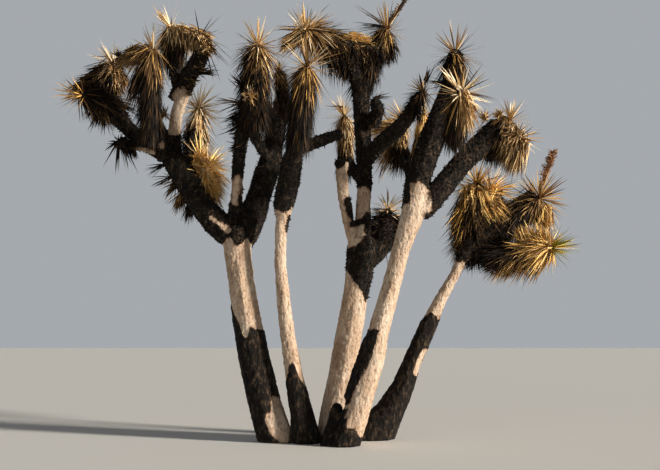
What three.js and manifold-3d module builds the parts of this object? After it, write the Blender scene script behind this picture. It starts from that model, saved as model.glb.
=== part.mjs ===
// A fire-scarred joshua tree: five stems from one root, their boughs, burnt flower stalks and masses of leaves.
// Millimetres. X runs to the right, Y away from the viewer and Z up. Z = 0 is the ground.
import * as THREE from 'three';
import { mergeVertices } from 'three/addons/utils/BufferGeometryUtils.js';
import Module from 'manifold-3d';

const wasm = await Module();
wasm.setup();

// Clear air left between a piece and the one it grows from.
const clearance = 0.35;
// How far a surface may move when needless points are taken out.
const smoothing = 0.08;
// Half the width of the block that trims the feet flat.
const groundBlock = 9000;
// Height over which the root flare fades into the stem.
const flareHeight = 130;
// Depth below the ground to which a foot is drawn before it is trimmed.
const buriedFoot = 60;

const stemSides = 12;
const stemRings = 8;
const boughSides = 8;
const boughRings = 5;
const twigSides = 6;
const twigRings = 4;
const headSides = 8;
// How many spikes stand round the burst of a leaf mass.
const spikeTurns = 4;

const woodPale = { color: 0xc9ab88, roughness: 0.85 };
const woodCharred = { color: 0x241c16, roughness: 0.95 };
const woodStalk = { color: 0x5a4030, roughness: 0.9 };
const leafStraw = { color: 0xb9975f, roughness: 0.9 };
const leafBrown = { color: 0x6d5232, roughness: 0.9 };
const leafBurnt = { color: 0x3a2b1c, roughness: 0.95 };
const leafGold = { color: 0xc99c48, roughness: 0.9 };
const leafGreen = { color: 0x8f8a3a, roughness: 0.85 };

// A small repeatable wobble between -1 and 1 for ring i, side j of the piece numbered seed.
function wobble(i, j, seed) {
  const wave = Math.sin(i * 12.9898 + j * 78.233 + seed * 37.719) * 43758.5453;
  return 2 * (wave - Math.floor(wave)) - 1;
}

// A closed skin over rings of equal length, each given by its centre and corners.
function skin(rings) {
  const sides = rings[0].corners.length;
  const places = [];
  for (const ring of rings) {
    for (const corner of ring.corners) {
      places.push(corner.x, corner.y, corner.z);
    }
  }
  const last = rings.length - 1;
  const bottom = places.length / 3;
  places.push(rings[0].centre.x, rings[0].centre.y, rings[0].centre.z);
  places.push(rings[last].centre.x, rings[last].centre.y, rings[last].centre.z);
  const faces = [];
  for (let i = 0; i < last; i += 1) {
    for (let j = 0; j < sides; j += 1) {
      const next = (j + 1) % sides;
      const a = i * sides + j;
      const b = i * sides + next;
      const c = a + sides;
      const d = b + sides;
      faces.push(a, b, d, a, d, c);
    }
  }
  for (let j = 0; j < sides; j += 1) {
    const next = (j + 1) % sides;
    faces.push(bottom, next, j);
    faces.push(bottom + 1, last * sides + j, last * sides + next);
  }
  return new wasm.Manifold(new wasm.Mesh({
    numProp: 3,
    vertProperties: new Float32Array(places),
    triVerts: new Uint32Array(faces),
  }));
}

// Two directions across a limb, square to it and to each other, the first as near to X as it can be.
function acrossFrame(along) {
  const first = new THREE.Vector3(1, 0, 0).addScaledVector(along, -along.x);
  if (first.length() < 0.5) {
    first.set(0, 0, 1).addScaledVector(along, -along.z);
  }
  first.normalize();
  return [first, new THREE.Vector3().crossVectors(along, first)];
}

// Carries the across directions along to the next ring without twisting.
function carryFrame(frame, along) {
  const first = frame[0].clone().addScaledVector(along, -frame[0].dot(along)).normalize();
  return [first, new THREE.Vector3().crossVectors(along, first)];
}

// A limb through its stations, each [across, back, up, radius], with a knobbly round section.
function limbSolid(plan, grow) {
  const points = plan.stations.map(([x, y, z]) => new THREE.Vector3(x, y, z));
  const curve = new THREE.CatmullRomCurve3(points, false, 'centripetal');
  const steps = plan.stations.length - 1;
  const rings = [];
  let frame = null;
  for (let i = 0; i <= plan.rings; i += 1) {
    const share = i / plan.rings;
    const centre = curve.getPoint(share);
    const along = curve.getTangent(share);
    frame = frame ? carryFrame(frame, along) : acrossFrame(along);
    const at = Math.min(Math.floor(share * steps), steps - 1);
    const radius = THREE.MathUtils.lerp(plan.stations[at][3], plan.stations[at + 1][3], share * steps - at);
    const corners = [];
    for (let j = 0; j < plan.sides; j += 1) {
      const angle = (2 * Math.PI * j) / plan.sides;
      let reach = radius * (1 + plan.knobs * wobble(i, j, plan.seed)) + grow;
      for (const toe of plan.toes) {
        const facing = Math.max(0, Math.cos(angle - toe.angle));
        reach += toe.reach * facing ** 3 * Math.exp(-Math.max(centre.z, 0) / flareHeight);
      }
      const corner = centre.clone();
      corner.addScaledVector(frame[0], reach * Math.cos(angle));
      corner.addScaledVector(frame[1], reach * Math.sin(angle));
      corners.push(corner);
    }
    rings.push({ centre, along, corners, radius });
  }
  const start = rings[0];
  for (const point of [start.centre, ...start.corners]) {
    point.addScaledVector(start.along, -grow);
  }
  // The tip is drawn in to a blunt burnt end.
  const end = rings[rings.length - 1];
  const tipCentre = end.centre.clone().addScaledVector(end.along, plan.bluntness * end.radius + grow);
  const tipCorners = end.corners.map((corner) => {
    const out = corner.clone().sub(end.centre).multiplyScalar(plan.tipShare);
    return out.add(tipCentre);
  });
  rings.push({ centre: tipCentre, corners: tipCorners });
  let solid = skin(rings);
  if (plan.rooted) {
    solid = solid.intersect(aboveGround);
  }
  return solid;
}

// A mass of leaves: a skirt of dead leaves hanging back from its base, a neck, and a spiky burst at the heart.
function headSolid(plan, grow) {
  const base = new THREE.Vector3(...plan.base);
  const heart = new THREE.Vector3(...plan.heart);
  const length = base.distanceTo(heart);
  const along = heart.clone().sub(base).divideScalar(length);
  const frame = acrossFrame(along);
  // Each ring: share of the skirt's length, share of the burst's radius past the heart, and radius.
  const profile = [
    [-0.05, 0, plan.skirt * 0.45, 0],
    [0.1, 0, plan.skirt, 0],
    [0.8, 0, plan.skirt * 0.58, 0],
    [1, -0.12, plan.burst * 0.82, 1],
    [1, 0.42, plan.burst * 0.78, 1],
    [1, 0.86, plan.burst * 0.3, 1],
  ];
  const rings = profile.map(([back, front, radius, spiky], i) => {
    const past = i === 0 ? -grow : grow * spiky;
    const centre = base.clone().addScaledVector(along, back * length + front * plan.burst + past);
    const corners = [];
    for (let j = 0; j < headSides; j += 1) {
      const angle = (2 * Math.PI * j) / headSides;
      const out = new THREE.Vector3();
      out.addScaledVector(frame[0], Math.cos(angle));
      out.addScaledVector(frame[1], Math.sin(angle));
      const spikes = spiky * plan.spikes * Math.cos(spikeTurns * angle + plan.seed);
      const reach = radius * (1 + plan.unevenness * wobble(i, j, plan.seed) + spikes) + grow;
      const corner = centre.clone().addScaledVector(out, reach);
      corner.z -= spiky ? 0 : plan.droop * radius * Math.max(0, -out.z);
      corners.push(corner);
    }
    return { centre, corners };
  });
  const tip = rings[rings.length - 1];
  tip.centre = tip.centre.clone().addScaledVector(along, plan.burst * 0.12);
  return skin(rings);
}

function stem(name, look, toes, stations) {
  const [first, second] = stations;
  const below = first.map((value, k) => (k < 3 ? value - (second[k] - first[k]) * 0.4 : value));
  below[2] = -buriedFoot;
  return {
    name,
    look,
    solid: limbSolid,
    stations: [below, ...stations],
    rings: stemRings,
    sides: stemSides,
    knobs: 0.06,
    toes,
    bluntness: 0.15,
    tipShare: 0.75,
    rooted: true,
  };
}

function bough(name, look, stations) {
  return {
    name,
    look,
    solid: limbSolid,
    stations,
    rings: boughRings,
    sides: boughSides,
    knobs: 0.07,
    toes: [],
    bluntness: 0.4,
    tipShare: 0.6,
    rooted: false,
  };
}

function twig(name, look, stations) {
  return { ...bough(name, look, stations), rings: twigRings, sides: twigSides };
}

function head(name, look, base, heart, skirt, burst, droop = 0.4) {
  return {
    name,
    look,
    solid: headSolid,
    base,
    heart,
    skirt,
    burst,
    droop,
    spikes: 0.2,
    unevenness: 0.14,
  };
}

const aboveGround = (() => {
  const block = new THREE.BoxGeometry(2 * groundBlock, 2 * groundBlock, 2 * groundBlock);
  block.translate(0, 0, groundBlock);
  block.deleteAttribute('normal');
  block.deleteAttribute('uv');
  const merged = mergeVertices(block);
  return new wasm.Manifold(new wasm.Mesh({
    numProp: 3,
    vertProperties: new Float32Array(merged.attributes.position.array),
    triVerts: new Uint32Array(merged.index.array),
  }));
})();

const toTheRight = 0;
const toTheBack = Math.PI / 2;
const toTheLeft = Math.PI;
const toTheFront = -Math.PI / 2;

// The stems, from the flat cut at the ground to where each forks or passes into a burnt head.
const stems = [
  stem('stem_main', woodPale, [{ angle: toTheFront, reach: 50 }, { angle: 2.6, reach: 40 }], [
    [0, 0, 0, 176],
    [30, 0, 400, 164],
    [100, 10, 790, 153],
    [150, 20, 1090, 139],
    [200, 30, 1390, 137],
    [250, 40, 1700, 150],
    [270, 60, 2010, 154],
  ]),
  stem('stem_front', woodPale, [{ angle: 2.0, reach: 70 }, { angle: toTheRight, reach: 20 }], [
    [80, -400, 0, 151],
    [140, -400, 130, 128],
    [200, -400, 290, 128],
    [230, -400, 430, 138],
    [290, -390, 610, 133],
    [360, -380, 800, 122],
    [400, -370, 1060, 132],
    [460, -360, 1170, 101],
    [530, -360, 1470, 102],
    [610, -350, 1770, 102],
    [670, -350, 1960, 100],
    [790, -350, 2310, 128],
  ]),
  stem('stem_near_left', woodPale, [{ angle: 0.6, reach: 60 }, { angle: toTheLeft, reach: 30 }], [
    [-280, -200, 0, 131],
    [-310, -200, 170, 116],
    [-350, -190, 410, 107],
    [-410, -180, 700, 91],
    [-460, -180, 990, 88],
    [-500, -180, 1290, 84],
    [-530, -190, 1580, 74],
    [-550, -200, 1930, 65],
    [-530, -220, 2160, 72],
    [-510, -240, 2260, 89],
  ]),
  stem('stem_far_left', woodPale, [{ angle: -0.5, reach: 70 }, { angle: toTheBack, reach: 20 }], [
    [-590, -50, 0, 175],
    [-640, -50, 160, 173],
    [-760, -40, 600, 159],
    [-850, -20, 1040, 150],
    [-930, 0, 1490, 147],
    [-980, 0, 1780, 140],
    [-1010, 0, 2110, 158],
  ]),
  stem('stem_right', woodPale, [{ angle: 3.4, reach: 150 }, { angle: toTheFront, reach: 30 }], [
    [430, 150, 10, 176],
    [510, 150, 190, 152],
    [630, 150, 390, 132],
    [720, 150, 590, 104],
    [800, 150, 790, 97],
    [920, 150, 1060, 97],
    [1030, 160, 1290, 77],
    [1140, 170, 1500, 72],
    [1270, 190, 1710, 60],
    [1340, 200, 1870, 68],
  ]),
];

// The boughs that grow from the far left stem.
const leftBoughs = [
  bough('bough_left', woodCharred, [
    [-1050, 0, 2000, 102],
    [-1100, 0, 2070, 132],
    [-1230, 0, 2210, 138],
    [-1370, 0, 2360, 133],
    [-1520, 0, 2610, 126],
    [-1650, 0, 2830, 124],
  ]),
  bough('bough_left_outer', woodCharred, [
    [-1610, 0, 2800, 90],
    [-1880, -100, 2945, 76],
    [-2060, -250, 3080, 80],
    [-2190, -400, 3220, 84],
  ]),
  bough('bough_left_bare', woodPale, [
    [-1650, 60, 2820, 80],
    [-1680, 100, 3040, 79],
    [-1680, 120, 3280, 78],
    [-1640, 120, 3430, 84],
    [-1580, 100, 3580, 76],
    [-1500, -20, 3710, 73],
    [-1440, -120, 3790, 67],
  ]),
  twig('limb_left_rising', woodCharred, [
    [-1770, -40, 2890, 62],
    [-1770, -300, 3040, 60],
    [-1750, -550, 3120, 53],
  ]),
  twig('limb_left_inner', woodCharred, [
    [-1550, 60, 2760, 52],
    [-1530, 280, 3030, 53],
    [-1510, 480, 3240, 55],
  ]),
  twig('limb_left_rear', woodCharred, [
    [-1680, 40, 2860, 67],
    [-1970, 650, 3290, 61],
    [-2140, 1100, 3630, 58],
  ]),
  twig('bough_left_middle', woodCharred, [
    [-1030, 20, 2060, 82],
    [-1010, 0, 2410, 74],
    [-990, -50, 2610, 70],
    [-980, -150, 2820, 66],
    [-920, -320, 3050, 75],
    [-850, -420, 3290, 79],
  ]),
  bough('bough_left_broad', woodCharred, [
    [-940, 30, 2000, 123],
    [-880, 60, 2150, 144],
    [-820, 120, 2360, 135],
    [-740, 250, 2670, 132],
    [-670, 340, 2940, 123],
  ]),
  twig('limb_front_thin', woodCharred, [
    [-705, 240, 2870, 47],
    [-780, -200, 3010, 40],
    [-800, -500, 3100, 39],
    [-810, -720, 3170, 38],
  ]),
  twig('limb_upper_thin', woodCharred, [
    [-650, 330, 2920, 80],
    [-600, 420, 3250, 76],
    [-610, 450, 3570, 68],
  ]),
];

// The boughs that grow from the two middle stems.
const middleBoughs = [
  bough('bough_second', woodCharred, [
    [-520, -220, 2200, 85],
    [-510, -250, 2310, 92],
    [-460, -350, 2520, 86],
    [-410, -540, 2740, 87],
    [-350, -740, 2960, 73],
    [-310, -850, 3100, 68],
  ]),
  twig('stub_second', woodCharred, [
    [-380, -600, 2790, 58],
    [-150, -600, 2890, 62],
    [50, -600, 2960, 55],
  ]),
  bough('bough_main', woodCharred, [
    [270, 60, 1940, 97],
    [290, 80, 2370, 90],
    [310, 100, 2640, 86],
    [300, 100, 2960, 91],
    [280, 120, 3370, 92],
    [270, 130, 3670, 84],
  ]),
  twig('bough_main_bare', woodPale, [
    [210, 30, 1930, 77],
    [110, -50, 2300, 75],
    [70, -120, 2600, 75],
    [60, -150, 2780, 71],
  ]),
  bough('bough_main_right', woodCharred, [
    [320, 60, 2810, 73],
    [420, -100, 2940, 87],
    [550, -300, 3010, 85],
    [680, -550, 3100, 73],
    [740, -700, 3190, 62],
  ]),
  twig('arm_main', woodCharred, [
    [250, 120, 3640, 74],
    [170, 100, 3900, 79],
    [60, 50, 4050, 79],
    [-140, 0, 4110, 68],
  ]),
  twig('bough_main_top', woodCharred, [
    [290, 130, 3650, 74],
    [370, 200, 3880, 75],
    [470, 250, 4000, 70],
  ]),
  twig('limb_main_low', woodCharred, [
    [330, 50, 1740, 61],
    [470, 150, 1870, 54],
    [550, 210, 1950, 52],
  ]),
  twig('limb_main_rear', woodCharred, [
    [290, 140, 2620, 60],
    [210, 500, 2820, 57],
    [140, 800, 3030, 53],
  ]),
];

// The boughs that grow from the front stem.
const rightBoughs = [
  bough('bough_front', woodCharred, [
    [760, -340, 2260, 113],
    [830, -280, 2590, 127],
    [950, -180, 2930, 131],
    [1080, -80, 3250, 131],
    [1200, 0, 3560, 114],
  ]),
  bough('bough_front_right', woodPale, [
    [840, -340, 2230, 104],
    [950, -320, 2340, 112],
    [1090, -260, 2530, 112],
    [1270, -180, 2750, 114],
    [1440, -100, 2920, 122],
    [1680, -20, 3150, 118],
  ]),
  bough('bough_front_rear', woodCharred, [
    [800, -280, 2350, 89],
    [840, 300, 2700, 80],
    [810, 850, 3010, 74],
    [800, 1080, 3170, 70],
  ]),
];

// The leaf masses, each with the end of its skirt, its heart, the skirt's radius and the burst's radius.
const heads = [
  head('head_left_tip', leafBrown, [-2200, -400, 3240], [-2500, -600, 3350], 180, 240, 0.6),
  head('head_left_upper', leafBrown, [-2160, -320, 3320], [-2300, 0, 3880], 180, 270),
  head('head_left_hanging', leafBrown, [-1780, -550, 3090], [-1730, -850, 3770], 170, 160),
  head('head_left_peak', leafBurnt, [-1440, -120, 3770], [-1350, -300, 4070], 150, 200),
  head('head_left_high', leafStraw, [-1610, 120, 3670], [-1810, 400, 4410], 150, 300),
  head('head_left_pale', leafStraw, [-1510, 480, 3170], [-1500, 650, 3590], 200, 250),
  head('head_left_burnt', leafBurnt, [-2060, -240, 3020], [-2150, -250, 2930], 100, 230, 0.8),
  head('head_left_golden', leafGold, [-1330, 170, 2420], [-1300, 240, 2800], 190, 240),
  head('head_left_rear', leafBrown, [-2150, 1100, 3620], [-2240, 1350, 4150], 170, 240),
  head('head_middle_tall', leafStraw, [-850, -420, 3300], [-770, -500, 3920], 190, 270),
  head('head_middle_small', leafGold, [-810, -720, 3150], [-810, -950, 3270], 90, 120),
  head('head_middle_arm', leafStraw, [-140, 0, 4070], [-340, -50, 4200], 160, 290, 0.7),
  head('head_middle_front', leafStraw, [-300, -840, 3070], [-260, -1000, 3540], 150, 240),
  head('head_middle_low', leafStraw, [-610, 450, 3530], [-630, 450, 3950], 130, 180),
  head('head_middle_rear', leafBurnt, [-670, 460, 3040], [-730, 1100, 3650], 130, 200),
  head('skirt_arm', leafBurnt, [180, 100, 3830], [-70, 20, 4050], 120, 120, 2.6),
  head('head_top', leafBurnt, [450, 240, 3930], [580, 350, 4380], 130, 320),
  head('head_top_stub', leafBrown, [390, 30, 3210], [370, -180, 3430], 90, 140),
  head('head_top_rear', leafBurnt, [130, 800, 3010], [100, 850, 3550], 100, 200, 0.8),
  head('head_centre_rear', leafBurnt, [800, 1080, 3150], [770, 1400, 3650], 190, 240, 2.4),
  head('head_centre_golden', leafGold, [860, 600, 2860], [980, 900, 3510], 130, 180),
  head('head_centre_low', leafBurnt, [560, 210, 1930], [560, 250, 2390], 130, 210, 1.2),
  head('head_right_top', leafStraw, [1200, 0, 3540], [1260, 0, 4000], 150, 330),
  head('head_right_burnt', leafBurnt, [740, -700, 3170], [810, -800, 3350], 90, 170),
  head('head_right_front', leafStraw, [1130, -300, 2960], [1130, -1150, 3210], 140, 260, 0.8),
  head('head_right_pair', leafStraw, [1660, -20, 3130], [1870, -50, 3170], 170, 260, 2.2),
  head('sheath_right', leafBurnt, [1340, 200, 1850], [2040, 450, 2350], 180, 130, 0.7),
  head('head_right_golden', leafGold, [1400, 380, 1980], [1650, 450, 2630], 270, 230, 0.5),
  head('head_right_stalk', leafGold, [2030, 470, 2360], [2260, 600, 2550], 150, 320, 0.8),
  head('head_right_green', leafGreen, [1730, 240, 1860], [2280, 100, 1950], 260, 270, 0.5),
  head('head_right_rear', leafBrown, [1660, 520, 2160], [1960, 1350, 2480], 180, 240, 0.8),
];

// Two burnt flower stalks stand up from the heads that bore them.
const stalks = [
  twig('stalk_top', woodStalk, [
    [590, 350, 4380, 33],
    [690, 350, 4550, 27],
    [780, 350, 4690, 23],
    [860, 350, 4830, 14],
  ]),
  twig('stalk_right', woodStalk, [
    [2220, 600, 2610, 27],
    [2310, 600, 2840, 24],
    [2400, 600, 3050, 15],
  ]),
];

// True where two bounding boxes meet.
function boxesMeet(one, other) {
  return [0, 1, 2].every((k) => one.min[k] < other.max[k] && other.min[k] < one.max[k]);
}

// The largest of a solid's separate bodies.
function mainBody(solid) {
  const bodies = solid.decompose();
  bodies.sort((one, other) => other.volume() - one.volume());
  return bodies[0];
}

// Each piece gives way, with a little air, to every piece placed before it.
const placed = [];
const group = new THREE.Group();
group.name = 'joshua_tree';
const pieces = [...stems, ...leftBoughs, ...middleBoughs, ...rightBoughs, ...stalks, ...heads];
pieces.forEach((plan, order) => {
  plan.seed = order + 1;
  let solid = plan.solid(plan, 0);
  const box = solid.boundingBox();
  for (const earlier of placed) {
    if (boxesMeet(box, earlier.box)) {
      solid = solid.subtract(earlier.fat);
    }
  }
  solid = mainBody(solid).simplify(smoothing);
  const fat = plan.solid(plan, clearance);
  placed.push({ fat, box: fat.boundingBox() });

  const mesh = solid.getMesh();
  const geometry = new THREE.BufferGeometry();
  geometry.setAttribute('position', new THREE.BufferAttribute(mesh.vertProperties, 3));
  geometry.setIndex(new THREE.BufferAttribute(mesh.triVerts, 1));
  geometry.computeVertexNormals();
  const material = new THREE.MeshStandardMaterial({ ...plan.look, metalness: 0, flatShading: true });
  const piece = new THREE.Mesh(geometry, material);
  piece.name = plan.name;
  group.add(piece);
});

export default group;
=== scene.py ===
import math

import bmesh
import bpy
import numpy as np
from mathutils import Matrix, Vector, noise
from mathutils.bvhtree import BVHTree


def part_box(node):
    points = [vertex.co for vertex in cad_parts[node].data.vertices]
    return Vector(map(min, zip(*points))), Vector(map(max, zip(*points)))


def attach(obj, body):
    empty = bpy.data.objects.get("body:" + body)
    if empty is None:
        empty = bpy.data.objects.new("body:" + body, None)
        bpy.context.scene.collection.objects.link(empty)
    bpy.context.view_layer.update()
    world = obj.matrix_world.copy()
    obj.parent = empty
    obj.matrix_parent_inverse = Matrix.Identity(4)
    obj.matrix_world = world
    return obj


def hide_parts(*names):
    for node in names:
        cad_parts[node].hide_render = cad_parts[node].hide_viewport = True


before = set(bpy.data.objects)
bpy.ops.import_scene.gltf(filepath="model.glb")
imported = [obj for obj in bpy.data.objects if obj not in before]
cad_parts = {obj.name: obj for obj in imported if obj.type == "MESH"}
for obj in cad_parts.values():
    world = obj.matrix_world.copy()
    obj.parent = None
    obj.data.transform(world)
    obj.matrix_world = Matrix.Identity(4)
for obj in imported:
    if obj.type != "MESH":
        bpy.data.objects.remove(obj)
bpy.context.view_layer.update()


def addObject(name, data):
    made = bpy.data.objects.new(name, data)
    bpy.context.collection.objects.link(made)
    return made


# place in metres, pitch in degrees above the level, lens and sensor in millimetres
camera = {"place": (-0.05, -8.6, 1.04), "pitch": 6.71, "lens": 46.36, "sensor": 36.0, "farthest": 200}
cameraData = bpy.data.cameras.new("camera")
cameraData.sensor_fit = "HORIZONTAL"
cameraData.sensor_width = camera["sensor"]
cameraData.lens = camera["lens"]
cameraData.clip_end = camera["farthest"]
cameraObject = addObject("camera", cameraData)
cameraObject.location = camera["place"]
cameraObject.rotation_euler = (math.radians(90 + camera["pitch"]), 0, 0)
bpy.context.scene.camera = cameraObject


def unit(rows):
    rows = np.asarray(rows, float)
    size = np.linalg.norm(rows, axis=-1, keepdims=True)
    return rows / np.maximum(size, 1e-9)


# the photograph in pixels: its middle and the focal length; levels: cosine and sine of the pitch
photo = {"middle": (330, 235), "focal": 850, "levels": (0.99315, 0.11684)}


def at(across, down, depth):
    # a place by its pixel in the photograph and its chosen depth in metres, to the centimetre
    (middleX, middleY), (level, rise) = photo["middle"], photo["levels"]
    forward = photo["focal"] * level - (middleY - down) * rise
    upward = photo["focal"] * rise + (middleY - down) * level
    x, y, z = camera["place"]
    share = (depth - y) / forward
    return round(x + (across - middleX) * share, 2), depth, round(z + upward * share, 2)


aslant = (0.3, 0.9, 0.1)  # any direction that no axis has


def around(axis, turn):
    # directions at right angles to an axis, at a turn about it
    side = unit(np.cross(axis, aslant))
    return np.cos(turn)[:, None] * side + np.sin(turn)[:, None] * np.cross(axis, side)


def linear(red, green, blue):
    # screen colour from 0 to 255, made linear
    share = np.array([red, green, blue]) / 255
    return tuple(np.where(share <= 0.04045, share / 12.92, ((share + 0.055) / 1.055) ** 2.4)) + (1.0,)


# limb: from its bough to the heart; face: where the burst points; leaf: length; rosette, skirt: numbers
# of leaves; wide: half angle of the burst; hang: angle of the skirt off the limb; sag: pull downward;
# dark: the skirt's burnt share; palette: other tones than the look's; lean: where the skirt is blown;
# loose: its scatter; span: the part of the limb that has a skirt; thick: radii of the wood inside
headColumns = "limb face look leaf rosette wide skirt hang sag dark".split()
usualHead = {"lean": (0, 0), "loose": 0.13, "span": 1, "thick": None}


def head(*values, **others):
    plan = dict(zip(headColumns, values))
    return {"palette": plan["look"], **usualHead, **plan, **others}


heads = {
    "left_tip": head([at(116, 104, -0.38), at(96, 97, -0.5), at(78, 94, -0.6)], (-1, -0.25, 0.1),
        "brown", 0.25, 56, 90, 420, 30, 0.4, 0.97, palette="singed"),
    "left_upper": head([at(106, 104, -0.34), at(110, 82, -0.22), at(113, 63, -0.15)], (-0.35, -0.5, 0.8),
        "straw", 0.26, 66, 108, 2200, 42, 0.3, 0.62, lean=(-0.12, 0)),
    "left_hanging": head([at(152, 124, -0.55), at(152, 85, -0.75), at(153, 47, -0.85)], (-0.1, -0.3, 0.9),
        "straw", 0.25, 30, 76, 3100, 28, 0.2, 0.9, palette="tan", lean=(-0.22, 0)),
    "left_peak": head([at(206, 50, -0.18), at(204, 42, -0.25), at(200, 34, -0.3)], (0.05, -0.3, 1),
        "burnt", 0.3, 18, 105, 40, 50, 0.2, 0.3, thick=(0.065, 0.05)),
    "left_high": head([at(180, 84, 0.15), at(174, 55, 0.3), at(170, 27, 0.4)], (-0.3, -0.3, 0.9),
        "straw", 0.29, 30, 100, 1500, 24, 0.3, 0.8, lean=(-0.06, 0), span=0.42),
    "left_pale": head([at(194, 168, 0.48), at(197, 135, 0.58), at(199, 106, 0.65)], (0.35, -0.6, 0.6),
        "pale", 0.3, 60, 108, 1300, 36, 0.2, 0.62, loose=0.24),
    "left_burnt": head([at(134, 147, -0.3), at(118, 141, -0.32)], (-0.8, -0.3, 0.1),
        "burnt", 0.12, 40, 110, 260, 55, 0.6, 0.9, thick=(0.05, 0.07)),
    "left_golden": head([at(203, 192, 0.16), at(206, 178, 0.18), at(209, 164, 0.18)], (0.55, 0.05, 0.6),
        "gold", 0.28, 110, 118, 1500, 62, 0.5, 0.1, palette="sunlit", lean=(0.1, -0.05), loose=0.34),
    "left_rear": head([(-2.14, 1.08, 3.58), (-2.24, 1.35, 4.13)], (-0.1, 0.4, 1),
        "brown", 0.26, 60, 100, 1200, 22, 0.25, 0.5),
    "middle_tall": head([at(254, 112, -0.4), at(256, 75, -0.46), at(258, 43, -0.5)], (0, -0.1, 1),
        "straw", 0.3, 64, 100, 3700, 33, 0, 0.83, lean=(-0.05, 0), loose=0.08),
    "middle_small": head([at(252, 116, -0.8), at(249, 93, -0.95)], (0, -0.8, 0.5),
        "gold", 0.085, 44, 80, 300, 24, 0.3, 0.8, palette="tan", lean=(0.05, 0)),
    "middle_arm": head([at(326, 37, 0.02), at(305, 30, -0.05)], (-0.15, -0.35, 1),
        "straw", 0.31, 90, 112, 900, 55, 0.7, 0.2, lean=(0, -0.1)),
    "middle_front": head([at(300, 126, -0.82), at(303, 95, -0.93), at(307, 64, -1)], (0, -0.45, 0.8),
        "straw", 0.3, 64, 96, 3000, 24, 0.2, 0.85, palette="tan", lean=(-0.04, 0), loose=0.08),
    "middle_low": head([at(283, 112, 0.44), at(282, 90, 0.45), at(279, 69, 0.45)], (0, -0.5, 0.8),
        "brown", 0.16, 40, 100, 1500, 30, 0.2, 0.7, palette="tan", lean=(0.1, 0)),
    "middle_rear": head([(-0.67, 0.42, 3), (-0.7, 0.8, 3.35), (-0.73, 1.1, 3.65)], (-0.1, 0.4, 1),
        "burnt", 0.22, 60, 100, 1100, 30, 0.3, 0.7),
    "top": head([at(364, 78, 0.2), at(375, 50, 0.29), at(387, 28, 0.35)], (-0.05, -0.3, 1),
        "brown", 0.3, 90, 116, 2600, 26, 0.25, 0.86, palette="tan"),
    "top_stub": head([at(372, 124, 0.05), at(378, 110, -0.1), at(374, 97, -0.18)], (0.1, -0.3, 1),
        "burnt", 0.15, 9, 100, 120, 60, 0.1, 0.95, thick=(0.085, 0.055)),
    "top_rear": head([at(345, 160, 0.78), at(345, 135, 0.82), at(344, 114, 0.85)], (-0.15, -0.4, 0.8),
        "straw", 0.26, 52, 105, 1800, 15, 0.2, 0.3),
    "centre_rear": head([(0.78, 1.05, 3.1), at(400, 135, 1.15), at(402, 119, 1.2)], (-0.6, -0.2, 0.6),
        "straw", 0.28, 70, 110, 700, 36, 0.4, 0.3, lean=(-0.3, 0)),
    "centre_golden": head([at(414, 170, 0.6), at(420, 135, 0.8), at(424, 113, 0.86)], (0.1, -0.4, 0.9),
        "gold", 0.2, 36, 90, 1500, 12, 0.3, 0.25),
    "centre_low": head([at(384, 240, 0.18), at(387, 222, 0.22), at(388, 206, 0.22)], (0, -0.55, 0.85),
        "straw", 0.24, 44, 112, 160, 60, 0.1, 0.9),
    "right_top": head([at(453, 108, 0), at(454, 78, 0), at(455, 51, 0)], (0, -0.15, 1),
        "straw", 0.33, 84, 110, 2400, 20, 0.05, 0.97, palette="tan", thick=(0.12, 0.085)),
    "right_burnt": head([at(414, 108, -0.74), at(422, 89, -0.8)], (-0.4, -0.3, 0.9),
        "brown", 0.18, 56, 105, 420, 40, 0.2, 0.97),
    "right_front": head([at(455, 122, -0.72), at(458, 104, -0.98), at(462, 90, -1.12)], (0, -0.8, 0.6),
        "straw", 0.3, 50, 105, 1900, 24, 0.9, 0.93, palette="tan", lean=(-0.03, 0)),
    "right_pair": head([at(492, 128, -0.03), at(511, 118, -0.05)], (0.15, -0.35, 0.9),
        "straw", 0.24, 80, 110, 700, 60, 1, 0.5),
    "right_golden": head([at(470, 242, 0.38), at(473, 208, 0.42), at(477, 182, 0.45)], (0.1, -0.6, 0.8),
        "olive", 0.31, 110, 125, 3600, 44, 0.4, 0.6, lean=(-0.08, 0), loose=0.3),
    "right_stalk": head([at(503, 226, 0.5), at(525, 208, 0.56), at(540, 197, 0.55)], (0.35, -0.8, 0.4),
        "straw", 0.34, 120, 112, 2200, 30, 0.25, 0.74, palette="dull", lean=(-0.05, 0)),
    "right_green": head([at(502, 253, 0.22), at(528, 250, 0.16), at(554, 247, 0.1)], (1, -0.2, 0.25),
        "green", 0.28, 84, 70, 3200, 30, 0.25, 0.45, loose=0.22),
    "right_rear": head([(1.75, 0.55, 2.14), (1.96, 1.35, 2.46)], (0.3, 0.8, 0.5),
        "brown", 0.26, 80, 105, 1900, 26, 0.4, 0.5),
}
# smaller bursts that share a limb with a head
sideShoots = [
    head([at(508, 132, -0.06), at(522, 138, -0.1)], (1, -0.25, 0.1),
        "straw", 0.23, 50, 105, 300, 50, 0.8, 0.2),
    head([at(482, 218, 0.46), at(488, 202, 0.5), at(492, 189, 0.54)], (0.9, -0.35, 0.2),
        "olive", 0.32, 110, 120, 1500, 50, 0.2, 0.4, lean=(0.2, 0), loose=0.3),
    head([at(207, 182, 0.2), at(203, 168, 0.22), at(200, 156, 0.22)], (0, -0.4, 0.8),
        "gold", 0.25, 80, 110, 700, 44, 0.5, 0.1, palette="sunlit", lean=(0.1, 0), loose=0.34),
]

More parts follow.
